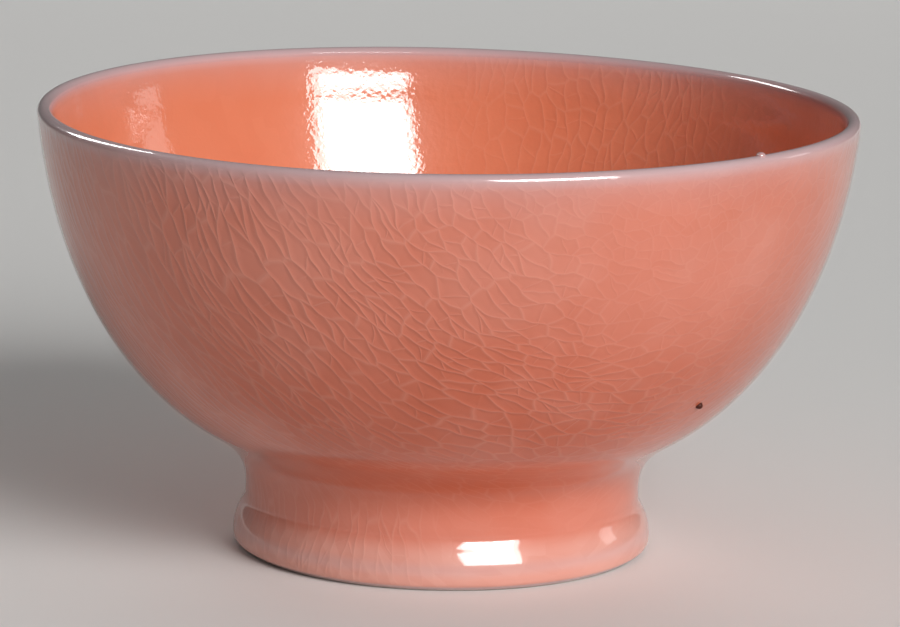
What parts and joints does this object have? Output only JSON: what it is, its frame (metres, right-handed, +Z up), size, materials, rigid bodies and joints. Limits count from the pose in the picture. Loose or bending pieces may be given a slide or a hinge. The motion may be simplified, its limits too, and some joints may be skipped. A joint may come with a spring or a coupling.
{
  "type": "footed pottery bowl",
  "caption": "Deep round pottery bowl on a flared foot ring, thrown in clay and covered in glossy salmon crackle glaze with a pale lip; holds food or small goods.",
  "frame": {"origin": "centre of the foot's resting edge, on the bowl's axis", "axes": "+Z up along the turning axis; +X and +Y are alike because the bowl is round"},
  "size_m": [0.18, 0.18, 0.098],
  "materials": {
    "fired_clay": "matt fired clay under the glaze",
    "foot_clay": "matt fired clay, bare on the resting edge",
    "slip": "matt fired slip",
    "salmon_glaze": "glossy salmon glaze with a fine pale crackle, paler where thin on the lip",
    "inner_salmon_glaze": "glossy salmon glaze with a fine pale crackle",
    "base_salmon_glaze": "glossy salmon glaze"
  },
  "bodies": {
    "root": {"bowl_body": "fired_clay", "foot_ring": "foot_clay", "slip_joint": "slip", "outer_glaze": "salmon_glaze", "inner_glaze": "inner_salmon_glaze", "base_glaze": "base_salmon_glaze"}
  },
  "joints": []
}
